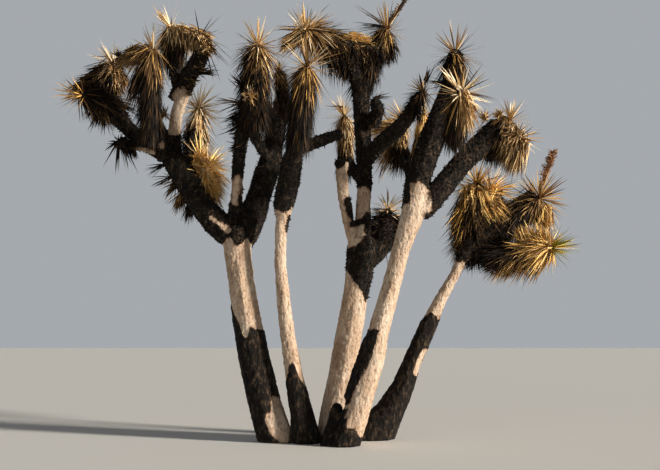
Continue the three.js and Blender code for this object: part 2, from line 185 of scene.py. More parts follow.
# the wood: each stem and the boughs that grow from it, then the heads on them
wood = {
    "woodFarLeft": ("stem_far_left bough_left bough_left_outer bough_left_bare limb_left_rising "
                    "limb_left_inner limb_left_rear bough_left_middle bough_left_broad limb_front_thin "
                    "limb_upper_thin",
                    "left_tip left_upper left_hanging left_peak left_high left_pale left_burnt left_golden "
                    "left_rear middle_tall middle_small middle_low middle_rear"),
    "woodNearLeft": ("stem_near_left bough_second stub_second", "middle_front"),
    "woodMain": ("stem_main bough_main bough_main_bare bough_main_right arm_main bough_main_top "
                 "limb_main_low limb_main_rear", "middle_arm top top_stub top_rear centre_low right_burnt"),
    "woodFront": ("stem_front bough_front bough_front_right bough_front_rear",
                  "centre_rear centre_golden right_top right_front right_pair"),
    "woodRight": ("stem_right", "right_golden right_stalk right_green right_rear"),
}
# more wood inside the leaves, and stubs: points, then the radius at each
extraLimbs = {
    "woodFarLeft": [
        ([(-1.44, -0.08, 3.72), at(203, 56, -0.15), at(208, 45, -0.2)], [0.06, 0.06, 0.045]),
        ([(-1.69, 0.12, 3.5), at(180, 84, 0.15)], [0.07, 0.06]),
        ([at(184, 96, 0.08), at(187, 74, 0.04), at(199, 53, -0.14)], [0.07, 0.06, 0.055]),
        ([(-2.12, -0.34, 3.16), at(106, 104, -0.34), at(110, 88, -0.25)], [0.1, 0.1, 0.06]),
        ([at(150, 52, -0.8), at(126, 56, -0.45)], [0.045, 0.03]),
        ([at(168, 150, -0.02), at(163, 136, -0.12), at(161, 128, -0.2)], [0.06, 0.06, 0.05]),
        ([(-1.72, -0.42, 3.06), at(151, 124, -0.55), at(152, 100, -0.68)], [0.06, 0.075, 0.06]),
        ([at(157, 152, -0.1), at(148, 151, -0.26), at(132, 147, -0.3)], [0.05, 0.036, 0.034]),
        ([at(247, 128, -0.35), at(254, 142, -0.35), at(263, 153, -0.3)], [0.03, 0.03, 0.04]),
    ],
    "woodNearLeft": [
        ([(-0.515, -0.235, 2.25), (-0.51, -0.25, 2.33), (-0.46, -0.35, 2.52), (-0.41, -0.54, 2.74)],
         [0.094, 0.106, 0.113, 0.1]),
    ],
    "woodFront": [
        ([(0.7, -0.35, 2.05), (0.78, -0.34, 2.28), (0.83, -0.3, 2.5)], [0.11, 0.127, 0.12]),
        ([(-0.03, -0.38, -0.02), at(335, 424, -0.34), at(337, 406, -0.3)], [0.125, 0.085, 0.055]),
        ([at(368, 338, -0.34), at(357, 372, -0.36), at(348, 397, -0.38)], [0.05, 0.055, 0.045]),
    ],
    "woodMain": [
        ([(0.09, -0.1, 2.66), (0.15, -0.12, 2.8)], [0.035, 0.022]),
        ([at(312, 35, -0.03), at(343, 45, 0.05), at(370, 52, 0.18)], [0.035, 0.075, 0.09]),
        ([at(362, 266, 0.06), at(376, 252, 0.12), at(385, 236, 0.18), at(387, 222, 0.22)],
         [0.1, 0.11, 0.135, 0.1]),
    ],
    "woodRight": [
        ([(1.32, 0.2, 1.84), at(480, 244, 0.3), at(503, 226, 0.48)], [0.075, 0.1, 0.085]),
        ([(1.32, 0.2, 1.84), at(470, 242, 0.38)], [0.07, 0.07]),
        ([at(470, 256, 0.22), at(502, 253, 0.22)], [0.06, 0.05]),
    ],
}
# the char's upper edge on each stem: place from the left edge (-1) to the right (1), then height
charTop = {
    "stem_far_left": [(-1, 1.38), (-0.6, 1.16), (-0.2, 0.97), (0.15, 1.08), (0.6, 1.12), (1, 1.05)],
    "stem_near_left": [(-1, 0.57), (-0.4, 0.73), (0.2, 0.76), (0.6, 0.62), (1, 0.5)],
    "stem_main": [(-1, 0.05), (1, 0.05)],
    "stem_front": [(-1, 0.06), (0, 0.17), (1, 0.1)],
    "stem_right": [(-1, 1.2), (-0.3, 1.27), (0.3, 1.25), (1, 1.19)],
}
# and the lower edge of the burnt bark above the peeled wood
charBase = {
    "stem_far_left": [(-1, 2.02), (-0.4, 1.99), (0, 1.94), (0.5, 1.99), (1, 1.96)],
    "stem_near_left": [(-1, 2.27), (0, 2.24), (1, 2.3)],
    "stem_main": [(-1, 1.71), (-0.5, 1.6), (0.1, 1.52), (1, 1.4)],
    "stem_front": [(-1, 2.36), (-0.4, 2.46), (0.2, 2.6), (1, 2.6)],
    "stem_right": [(-1, 1.84), (1, 1.8)],
}
# patches that differ: two ends, radius, and 1 for char or -1 for bare wood
patches = {
    "woodFarLeft": [
        (at(281, 405, -0.2), at(279, 432, -0.25), 0.1, -1),
        (at(270, 418, -0.24), at(278, 430, -0.25), 0.07, -1),
        (at(287, 418, -0.15), at(290, 436, -0.15), 0.07, -1),
        (at(213, 218, -0.14), at(227, 230, -0.16), 0.036, -1),
        (at(238, 183, -0.1), at(236, 196, -0.08), 0.075, -1),
        (at(243, 188, -0.1), at(243, 202, -0.08), 0.035, 1),
        (at(181, 99, 0.08), at(174, 122, 0.04), 0.115, -1),
        (at(160, 134, -0.2), at(162, 146, -0.15), 0.028, -1),
        (at(135, 148, -0.34), at(151, 153, -0.3), 0.045, -1),
        (at(211, 42, -0.26), at(211, 46, -0.26), 0.022, -1)],
    "woodNearLeft": [(at(290, 219, -0.22), at(288, 231, -0.2), 0.022, 1)],
    "woodMain": [
        (at(362, 194, 0), at(360, 212, 0), 0.11, -1),
        (at(357, 181, 0), at(374, 182, 0), 0.05, 1),
        (at(357, 232, -0.02), at(350, 236, -0.05), 0.11, -1),
        (at(352, 224, -0.08), at(369, 217, -0.04), 0.036, 1),
        (at(348, 202, -0.14), at(352, 216, -0.12), 0.042, 1),
        (at(339, 161, -0.2), at(341, 163, -0.2), 0.05, 1),
        (at(380, 147, -0.02), at(378, 149, -0.02), 0.035, -1)],
    "woodFront": [
        (at(338, 413, -0.44), at(335, 438, -0.44), 0.085, 1),
        (at(412, 214, -0.45), at(417, 194, -0.42), 0.125, -1),
        (at(425, 199, -0.45), at(425, 207, -0.45), 0.07, -1),
        (at(406, 170, -0.42), at(405, 197, -0.44), 0.035, 1),
        (at(427, 191, -0.48), at(429, 192, -0.48), 0.015, 1)],
    "woodRight": [(at(426, 352, 0.06), at(417, 372, 0.06), 0.045, -1)],
}
bareNodes = {nodes.split()[0] for nodes, _ in wood.values()} | {"bough_main_bare"}

# relief in metres: proud surfaces stand out from the smoothed wood after it is drawn inward; then its noises:
# stretch, octaves, offset
bark = {"voxel": 0.0122, "smoothing": 8, "softness": 0.5, "inward": 0.014, "charProud": 0.012,
        "lumps": 0.006, "grit": 0.004, "bareProud": 0.003, "dents": 0.005,
        "chunky": ((26, 26, 14), 4, 1.7), "fine": ((60, 60, 34), 2, 8.3), "dented": ((34, 34, 17), 3, 5.9)}
# wood inside a head: radius for each metre of leaf and the least one, its shares at foot and tip, and how
# far short of the heart it ends
core = {"perLeaf": 0.13, "least": 0.022, "foot": 1.5, "tip": 0.75, "short": 0.04}
# the char's field runs from -far in bare wood to far in char; the waves make its edges uneven
charEdge = {"far": 0.1, "blurs": 6, "width": 0.012, "added": 0.02, "wave": 0.05, "waveAbove": 0.06,
            "backWave": 0.12, "patchWave": 0.035, "patchDepth": 0.4, "stubsAbove": 1.35,
            "nearPatch": 0.08, "foot": 0.03, "head": 0.05, "noise": ((9, 9, 5), 4, 3.1)}
peeledUpTo = 2.3  # the near left stem is bare up to here, with the wood added to it
# the char up the left side of the front stem: height, then place across the stem
charStrip = {"edge": [(0.30, -1.4), (0.40, -0.75), (0.6, -0.35), (0.8, -0.15), (1.08, 0.0), (1.14, -0.1)],
             "top": 1.09, "wave": 0.02, "behind": 0.3}
stainSpot = {"centre": (0.03, -0.15, 0.90), "size": (0.06, 0.12, 0.18)}


def limbTube(bm, points, radii, sides=12):
    points = [Vector(point) for point in points]
    rings = []
    side = None
    for k, (centre, radius) in enumerate(zip(points, radii)):
        along = (points[min(k + 1, len(points) - 1)] - points[max(k - 1, 0)]).normalized()
        side = (side - along * side.dot(along)).normalized() if side else along.orthogonal().normalized()
        other = along.cross(side)
        rounds = [(centre, radius)]
        if k == len(points) - 1:
            rounds.append((centre + along * radius * 0.6, radius * 0.5))  # a blunt tip
        for middle, size in rounds:
            ring = []
            for j in range(sides):
                turn = 2 * math.pi * j / sides
                ring.append(bm.verts.new(middle + (side * math.cos(turn) + other * math.sin(turn)) * size))
            rings.append(ring)
    for lower, upper in zip(rings, rings[1:]):
        for j in range(sides):
            bm.faces.new((lower[j], lower[(j + 1) % sides], upper[(j + 1) % sides], upper[j]))
    bm.faces.new(list(reversed(rings[0])))
    bm.faces.new(rings[-1])


def meshFrom(name, bm):
    mesh = bpy.data.meshes.new(name)
    bm.to_mesh(mesh)
    bm.free()
    return mesh


def stemMiddle(points, low, high, step=0.05, reach=0.04, fewest=8):
    # centre line and half width of a stem by height, for telling its left from its right
    rows = []
    for height in np.arange(low, high, step):
        near = points[np.abs(points[:, 2] - height) < reach]
        if len(near) < fewest:
            continue
        centre = (near[:, :2].min(0) + near[:, :2].max(0)) / 2
        half = (near[:, 0].max() - near[:, 0].min()) / 2
        rows.append((height, centre[0], centre[1], half))
    return np.array(rows)


def unevenness(points, scale, octaves, offset):
    scaled = points * np.asarray(scale) + offset
    return np.array([noise.fractal(Vector(p), 1.0, 2.0, octaves, noise_basis="PERLIN_ORIGINAL")
                     for p in scaled])


def tableOf(items, key):
    table = np.empty(len(items) * 3)
    items.foreach_get(key, table)
    return table.reshape(-1, 3)


def capsuleReach(points, start, end, radius):
    # how far each point is inside a capsule that is stretched from front to back
    start, end = np.array(start), np.array(end)
    along = end - start
    share = np.clip(((points - start) @ along) / max(along @ along, 1e-9), 0, 1)
    gap = points - (start + share[:, None] * along)
    gap[:, 1] *= charEdge["patchDepth"]
    return radius - np.linalg.norm(gap, axis=1)


def joinWood(name, nodes):
    # one mesh of the CAD limbs and the wood inside the heads, and a tree that finds the nearest CAD node
    bm = bmesh.new()
    nodeOfFace, corners, polygons = [], [], []
    for index, node in enumerate(nodes):
        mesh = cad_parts[node].data
        bm.from_mesh(mesh)
        start = len(corners)
        corners += [vertex.co.copy() for vertex in mesh.vertices]
        for polygon in mesh.polygons:
            polygons.append([start + corner for corner in polygon.vertices])
            nodeOfFace.append(index)
    bmesh.ops.remove_doubles(bm, verts=bm.verts, dist=1e-5)
    for plan in (heads[ending] for ending in wood[name][1].split()):
        thick = core["perLeaf"] * plan["leaf"] + core["least"]
        ends = plan["thick"] or (thick * core["foot"], thick * core["tip"])
        points = [np.array(point) for point in plan["limb"]]
        points[-1] = points[-1] + unit(points[-2] - points[-1]) * core["short"]
        limbTube(bm, points, np.linspace(*ends, len(points)))
    for points, radii in extraLimbs[name]:
        limbTube(bm, points, radii)
    return addObject(name, meshFrom(name, bm)), BVHTree.FromPolygons(corners, polygons), nodeOfFace


def remeshed(piece):
    for thing in bpy.context.selected_objects:
        thing.select_set(False)
    piece.select_set(True)
    bpy.context.view_layer.objects.active = piece
    remesh = piece.modifiers.new("remesh", "REMESH")
    remesh.mode = "VOXEL"
    remesh.voxel_size = bark["voxel"]
    bpy.ops.object.modifier_apply(modifier="remesh")
    smooth = piece.modifiers.new("smooth", "SMOOTH")
    smooth.factor = bark["softness"]
    smooth.iterations = bark["smoothing"]
    bpy.ops.object.modifier_apply(modifier="smooth")
    return piece.data


def blurred(field, mesh):
    count = len(field)
    edges = np.empty(len(mesh.edges) * 2, int)
    mesh.edges.foreach_get("vertices", edges)
    first, second = edges.reshape(-1, 2).T
    degree = np.bincount(edges, minlength=count)
    for _ in range(charEdge["blurs"]):
        total = np.bincount(first, field[second], count) + np.bincount(second, field[first], count)
        field = 0.5 * field + 0.5 * total / np.maximum(degree, 1)
    return field


def charField(name, nodes, mesh, points, nearest, added):
    # how far each vertex is inside the char: above zero it is burnt, below zero it is bare
    far = charEdge["far"]
    bare = np.isin(nearest, [k for k, node in enumerate(nodes) if node in bareNodes]) & ~added
    field = blurred(np.where(bare, -far, far), mesh)
    wave = unevenness(points, *charEdge["noise"])
    heights = points[:, 2]
    stem = nodes[0]
    own = (nearest == 0) & ~added
    rows = stemMiddle(points[own], charEdge["foot"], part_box(stem)[1].z - charEdge["head"])
    middle, depth, half = (np.interp(heights, rows[:, 0], rows[:, k]) for k in (1, 2, 3))
    side = np.clip((points[:, 0] - middle) / half, -1, 1)
    back = points[:, 1] > depth
    if stem == "stem_near_left":
        own = own | (heights < peeledUpTo)
        field = np.where(heights < peeledUpTo, -far, field)

    def burn(reach):
        return np.where(own, np.maximum(field, np.clip(reach, -far, far)), field)

    behind = np.where(back, charEdge["backWave"] * np.sin(3 * side + 1), 0) * (1 - side ** 2)
    field = burn(np.interp(side, *zip(*charTop[stem])) + behind + charEdge["wave"] * wave - heights)
    field = burn(heights - np.interp(side, *zip(*charBase[stem])) + charEdge["waveAbove"] * wave)
    if stem == "stem_front":
        strip = np.interp(heights, *zip(*charStrip["edge"]))
        strip = np.where(back, strip + charStrip["behind"], strip)
        field = burn(np.minimum((strip - side) * half, charStrip["top"] - heights) + charStrip["wave"] * wave)
    for start, end, radius, sign in patches[name]:
        reach = capsuleReach(points, start, end, radius)
        reach = np.clip(reach + charEdge["patchWave"] * wave * (reach > -charEdge["nearPatch"]), -far, far)
        field = np.maximum(field, reach) if sign > 0 else np.minimum(field, -reach)
    return field


def buildWood(name, nodes):
    piece, tree, nodeOfFace = joinWood(name, nodes)
    mesh = remeshed(piece)
    points, normals = tableOf(mesh.vertices, "co"), tableOf(mesh.vertices, "normal")
    found = [tree.find_nearest(Vector(point)) for point in points]
    nearest = np.array([nodeOfFace[face] for _, _, face, _ in found])
    added = np.array([distance for _, _, _, distance in found]) > charEdge["added"]
    field = charField(name, nodes, mesh, points, nearest, added)
    spot = (points - stainSpot["centre"]) / stainSpot["size"]
    stain = np.exp(-(spot ** 2).sum(1))

    charred = np.clip(field / charEdge["width"] + 0.5, 0, 1)
    shaggy = charred * np.where(points[:, 2] < charEdge["stubsAbove"], 0, 1)
    chunky = unevenness(points, *bark["chunky"])
    fine = unevenness(points, *bark["fine"])
    dents = unevenness(points, *bark["dented"])
    push = -bark["inward"] + charred * (bark["charProud"] + bark["lumps"] * chunky + bark["grit"] * fine)
    push += (1 - charred) * (bark["bareProud"] + bark["dents"] * dents + bark["grit"] * fine)
    points = points + normals * push[:, None]
    points[:, 2] = np.maximum(points[:, 2], 0.0)
    mesh.vertices.foreach_set("co", points.ravel())
    for label, values in (("char", field), ("stain", stain)):
        mesh.attributes.new(label, "FLOAT", "POINT").data.foreach_set("value", values.astype(np.float32))
    mesh.polygons.foreach_set("use_smooth", [True] * len(mesh.polygons))
    mesh.update()
    return piece, shaggy


def newMaterial(name):
    made = bpy.data.materials.new(name)
    made.use_nodes = True
    return made, made.node_tree, made.node_tree.nodes["Principled BSDF"]


def feed(tree, node, inputs):
    # each input takes a fixed value, or the output that it is wired to
    for key, value in inputs.items():
        if isinstance(value, bpy.types.NodeSocket):
            tree.links.new(value, node.inputs[key])
        else:
            node.inputs[key].default_value = value


def addNode(tree, kind, inputs=None, out=0, **settings):
    node = tree.nodes.new("ShaderNode" + kind)
    for key, value in settings.items():
        setattr(node, key, value)
    feed(tree, node, inputs or {})
    return node.outputs[out]


def ramp(tree, share, stops):
    colour = addNode(tree, "ValToRGB", {"Fac": share}, "Color")
    elements = colour.node.color_ramp.elements
    while len(elements) < len(stops):
        elements.new(0.5)
    for element, (place, tint) in zip(elements, stops):
        element.position = place
        element.color = tint
    return colour


def mixed(tree, share, under, over, blend="MIX"):
    return addNode(tree, "Mix", {0: share, 6: under, 7: over}, 2, data_type="RGBA", blend_type=blend)


def mathOf(tree, operation, *values):
    return addNode(tree, "Math", dict(enumerate(values)), operation=operation)


def mapped(tree, value, limits):
    return addNode(tree, "MapRange", {"Value": value, **limits})


# the three noises: stretch, scale, detail, roughness
woodLook = {
    "grain": ((2.5, 2.5, 1), 3.2, 6.0, 0.6),
    "pits": ((1, 1, 0.6), 42.0, 4.0, 0.65),
    "lumps": ((1, 1, 0.5), 24.0, 6.0, 0.7),
    "bare": [(0.30, linear(155, 128, 103)), (0.46, linear(188, 161, 136)), (0.64, linear(206, 185, 162))],
    # pitShade: painted shade, darker where the pits noise is low and the bump sinks the surface
    "pitShade": [(0.34, (0.30, 0.21, 0.14, 1)), (0.50, (1, 1, 1, 1))],
    # char: the char's dark colour by the lumps noise, lighter brown on the raised lumps as painted highlight
    "char": [(0.36, linear(8, 6, 4)), (0.53, linear(27, 21, 15)), (0.68, linear(86, 69, 52))],
    "scorch": linear(112, 72, 42),
    "stain": linear(128, 94, 62),
    "pitShare": 0.7, "stainShare": 0.6, "scorchShare": 0.6,
    "jag": 0.05, "scorchWidth": 0.022, "charWidth": 0.003,
    "roughBare": 0.7, "roughChar": 0.95, "gloss": 0.25, "bump": 0.02,
}


def woodMaterial():
    made, tree, shader = newMaterial("burntWood")
    look = woodLook
    coordinates = addNode(tree, "TexCoord", out="Object")

    def noiseOf(key):
        stretch, scale, detail, roughness = look[key]
        vector = addNode(tree, "Mapping", {"Vector": coordinates, "Scale": stretch})
        return addNode(tree, "TexNoise", {"Vector": vector, "Scale": scale, "Detail": detail,
                                          "Roughness": roughness}, "Fac")

    def attribute(name):
        return addNode(tree, "Attribute", out="Fac", attribute_name=name)

    grain, pits, lumps = noiseOf("grain"), noiseOf("pits"), noiseOf("lumps")
    # the grain's colour, darkened in the pits as painted shade
    bare = mixed(tree, look["pitShare"], ramp(tree, grain, look["bare"]), ramp(tree, pits, look["pitShade"]),
                 "MULTIPLY")
    stainShare = mathOf(tree, "MULTIPLY", attribute("stain"), look["stainShare"])
    stained = mixed(tree, stainShare, bare, look["stain"])
    # the char's edge is ragged, with a scorched rim outside it
    jag = mathOf(tree, "MULTIPLY_ADD", lumps, look["jag"], -look["jag"] / 2)
    edge = mathOf(tree, "ADD", attribute("char"), jag)
    scorchShare = mapped(tree, edge, {"From Min": -look["scorchWidth"], "From Max": 0.0,
                                      "To Max": look["scorchShare"]})
    charShare = mapped(tree, edge, {"From Min": -look["charWidth"], "From Max": look["charWidth"]})
    scorched = mixed(tree, scorchShare, stained, look["scorch"])
    height = mathOf(tree, "MULTIPLY_ADD", lumps, charShare, pits)
    feed(tree, shader, {
        # the char's colour follows the lumps that the bump raises: lighter on their tops, a painted highlight
        "Base Color": mixed(tree, charShare, scorched, ramp(tree, lumps, look["char"])),
        "Roughness": mapped(tree, charShare, {"To Min": look["roughBare"], "To Max": look["roughChar"]}),
        "Normal": addNode(tree, "Bump", {"Height": height, "Strength": 1.0, "Distance": look["bump"]}),
        "Specular IOR Level": look["gloss"],
    })
    return made


# leaf colours as on a screen, 0 to 255; each tone is named by its kind and number
tones = {
    "straw": [(232, 198, 146), (182, 144, 94)],
    "pale": [(250, 228, 190)],
    "brown": [(128, 97, 60), (74, 54, 33)],
    "burnt": [(15, 11, 8), (30, 22, 15)],
    "gold": [(252, 214, 138), (222, 172, 92)],
    "green": [(122, 120, 40), (150, 138, 54)],
}
# the tones of each look: the burst, the skirt's top and its lower part; a tone named twice is dealt twice
# as often
looks = {
    "straw": ("straw0 straw1 straw0 pale0 brown0", "straw0 straw1 brown0 brown1 pale0",
              "brown1 brown0 burnt1 straw1"),
    "pale": ("pale0 straw0 pale0 gold0", "pale0 straw0 pale0 straw1", "straw1 straw0 brown1"),
    "brown": ("brown0 straw1 brown1 burnt1 gold1", "brown0 brown1 straw1", "brown1 burnt1"),
    "tan": ("straw1 straw0 brown0 pale0 brown1", "straw1 brown0 brown1 gold1", "brown1 burnt1 brown0"),
    "singed": ("brown0 straw1 brown1 burnt1 gold1", "burnt1 brown1 burnt0 burnt1", "burnt1 burnt0"),
    "dull": ("brown0 straw1 brown0 brown1 straw1", "brown0 straw1 brown1 burnt1", "brown1 burnt1 burnt0"),
    "burnt": ("burnt1 brown1 burnt0", "brown1 burnt1", "burnt1 burnt0"),
    "gold": ("gold0 gold1 gold0 straw0", "gold0 gold1 gold0 straw0 straw1", "gold1 straw1 brown0 gold0"),
    "sunlit": ("gold0 pale0 gold0 straw0", "gold0 pale0 gold0 gold1", "gold0 gold1 brown0"),
    "olive": ("gold0 gold1 gold0 straw0 brown0", "gold0 brown0 gold1 gold0 brown1", "brown0 brown1 burnt1"),
    "green": ("green0 green1 green1 green0 gold0", "gold0 straw1 gold1 brown0",
              "gold1 brown0 straw1 brown1"),
}
deadTones = "burnt0 burnt1 burnt0 burnt1 brown1"  # the foot of every skirt
# stations: place along the leaf and share of its width there; then widths in a skirt and in a burst
leafShape = {"stations": [(0.0, 0.8), (0.35, 1.0), (0.72, 0.6)], "width": (0.009, 0.0135),
             "burst": (0.012, 0.017), "gloss": 0.12, "fibre": 60.0, "rough": (0.5, 0.9)}


def leafMaterial(name, colour):
    made, tree, shader = newMaterial(name)
    fibre = addNode(tree, "TexNoise", {"Vector": addNode(tree, "TexCoord", out="Object"),
                                       "Scale": leafShape["fibre"], "Detail": 3.0}, "Fac")
    low, high = leafShape["rough"]
    feed(tree, shader, {"Base Color": colour, "Specular IOR Level": leafShape["gloss"],
                        "Roughness": mapped(tree, fibre, {"To Min": low, "To Max": high})})
    return made


down = np.array([0, 0, -1])
blades = {}  # arrays of leaf corners by tone


def addBlades(tone, roots, directions, lengths, widths, bends, facing):
    directions = unit(directions)
    across = unit(np.cross(directions, facing))
    lengths, widths = np.asarray(lengths)[:, None], np.asarray(widths)[:, None]
    columns = []
    for share, wide in leafShape["stations"]:
        middle = roots + directions * lengths * share + bends * lengths * share ** 2
        columns += [middle - across * widths * wide / 2, middle + across * widths * wide / 2]
    columns.append(roots + directions * lengths + bends * lengths)
    blades.setdefault(tone, []).append(np.stack(columns, 1))


def dealBlades(choices, chosen, rng, roots, directions, lengths, bends, facing, wide="width"):
    choices = choices.split()
    pick = rng.integers(0, len(choices), len(roots))
    widths = rng.uniform(*leafShape[wide], len(roots))
    for index, tone in enumerate(choices):
        some = chosen & (pick == index)
        if some.any():
            addBlades(tone, roots[some], directions[some], lengths[some], widths[some], bends[some],
                      facing[some])


# crowding: below 1 the leaves gather at the burst's rim; dome: how far down the limb the outer ones start
burst = {"crowding": 0.55, "tiltScatter": 0.14, "turnScatter": 0.35, "dome": 0.07, "heart": 0.012,
         "droop": (-0.02, 0.10), "reach": (0.72, 1.14), "curl": 0.02, "facing": 0.2}


def growRosette(plan, rng):
    axis = unit(np.array(plan["face"], float))
    n = plan["rosette"]
    share = (np.arange(n) + 0.5) / n
    tilt = np.radians(plan["wide"]) * share ** burst["crowding"] + rng.normal(0, burst["tiltScatter"], n)
    golden = math.pi * (3 - math.sqrt(5))
    turn = np.arange(n) * golden + rng.normal(0, burst["turnScatter"], n)
    out = around(axis, turn)
    direction = axis * np.cos(tilt)[:, None] + out * np.sin(tilt)[:, None]
    root = np.array(plan["limb"][-1]) - axis * (burst["dome"] * share)[:, None] + out * burst["heart"]
    bend = down * rng.uniform(*burst["droop"], n)[:, None] + rng.normal(0, burst["curl"], (n, 3))
    reach = plan["leaf"] * rng.uniform(*burst["reach"], n)
    dealBlades(looks[plan["palette"]][0], True, rng, root, direction, reach, bend,
               out + axis * burst["facing"], "burst")


# flare: more hang, in degrees, within the neck near the heart; inner: share of darker leaves by the limb,
# painted shade inside the skirt;
# uneven: scatter of where the tones change; sunward: how much further down they change on the right, painted
# sunlight from the key light's side
skirtShape = {"crowding": 0.9, "inner": 0.3, "innerHang": 0.6, "flare": 55, "neck": 0.05, "pull": (0.5, 1.2),
              "perLeaf": 0.13, "least": 0.02, "narrowest": 0.25, "rooted": (0.5, 1.1), "reach": (0.6, 1.2),
              "droop": (-0.03, 0.16), "inward": 0.05, "curl": 0.02, "uneven": 0.13, "sunward": 0.10,
              "topShare": 0.5}


def alongLimb(points, steps, along):
    # centre and direction of the limb at each distance from its heart
    centre, axis = np.zeros((len(along), 3)), np.zeros((len(along), 3))
    passed = 0
    for a, b, step in zip(points, points[1:], steps):
        here = ((along >= passed) & (along <= passed + step + 1e-6))[:, None]
        share = ((along - passed) / step)[:, None]
        centre = np.where(here, a + (b - a) * share, centre)
        axis = np.where(here, (a - b) / step, axis)
        passed += step
    return centre, axis


def growSkirt(plan, rng):
    shape = skirtShape
    points = [np.array(point) for point in plan["limb"]][::-1]
    steps = [np.linalg.norm(b - a) for a, b in zip(points, points[1:])]
    m = plan["skirt"] // 1
    depth = rng.uniform(0, 1, m) ** shape["crowding"] * plan["span"]
    along = depth * sum(steps)
    centre, axis = alongLimb(points, steps, along)
    turn = rng.uniform(0, 2 * math.pi, m)
    out = around(axis, turn)
    # the inner leaves hang closer to the limb and take a darker grade below: painted shade inside the skirt
    inner = rng.uniform(0, 1, m) < shape["inner"]
    flare = np.radians(shape["flare"]) * np.exp(-along / shape["neck"])
    hang = np.radians(plan["hang"]) + flare + rng.normal(0, plan["loose"], m)
    hang = np.where(inner, hang * shape["innerHang"], hang)
    direction = -axis * np.cos(hang)[:, None] + out * np.sin(hang)[:, None]
    pull = down * plan["sag"] + (*plan["lean"], 0)
    direction = unit(direction + pull * rng.uniform(*shape["pull"], m)[:, None])
    thick = shape["perLeaf"] * plan["leaf"] + shape["least"]
    thick = thick * np.clip(along / shape["neck"], shape["narrowest"], 1)
    root = centre + out * (thick * rng.uniform(*shape["rooted"], m))[:, None]
    reach = plan["leaf"] * rng.uniform(*shape["reach"], m)
    droop = down * rng.uniform(*shape["droop"], m)[:, None]
    bend = droop - out * shape["inward"] + rng.normal(0, shape["curl"], (m, 3))
    # painted sunlight: on the right, where the key light comes from, the paler tones reach further down
    aged = depth + rng.normal(0, shape["uneven"], m) - shape["sunward"] * out[:, 0]
    dark = 1 - plan["dark"]
    level = np.where(aged > dark, 2, np.where(aged > shape["topShare"] * dark, 1, 0))
    # painted shade: the inner leaves take the next darker grade
    level = np.where(inner, np.minimum(level + 1, 2), level)
    for grade, choices in enumerate((*looks[plan["palette"]][1:], deadTones)):
        dealBlades(choices, level == grade, rng, root, direction, reach, bend, out)


tuftShape = {"spread": 0.7, "rooted": 0.010, "rootedOnLine": 0.028, "reach": (0.55, 1.12), "droop": (0, 0.14),
             "curl": 0.02, "facing": (0, -0.6, 0.3)}


def growTuft(root, pointing, spread, count, leaf, choices, rng, end=None):
    count = count // (2 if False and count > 100 else 1)
    pointing = unit(np.array(pointing, float))
    wild = unit(np.cross(pointing, unit(rng.normal(0, 1, (count, 3)))))
    angle = np.abs(rng.normal(0, math.radians(spread) * tuftShape["spread"], count))[:, None]
    direction = pointing * np.cos(angle) + wild * np.sin(angle)
    start = np.array(root, float)
    if end is None:
        roots = start + rng.normal(0, tuftShape["rooted"], (count, 3))
    else:
        roots = start + (np.array(end) - start) * rng.uniform(0, 1, count)[:, None]
        roots = roots + rng.normal(0, tuftShape["rootedOnLine"], (count, 3))
    facing = rng.normal(0, 1, (count, 3)) + tuftShape["facing"]
    reach = leaf * rng.uniform(*tuftShape["reach"], count)
    droop = down * rng.uniform(*tuftShape["droop"], count)[:, None]
    bend = droop + rng.normal(0, tuftShape["curl"], (count, 3))
    dealBlades(choices, True, rng, roots, direction, reach, bend, facing)


browns, burnts = "brown0 brown1 burnt1", "burnt0 burnt1 burnt0 brown1"
dried, dulled = "straw1 brown0 straw0 brown1", "straw1 brown0 brown1 burnt1"
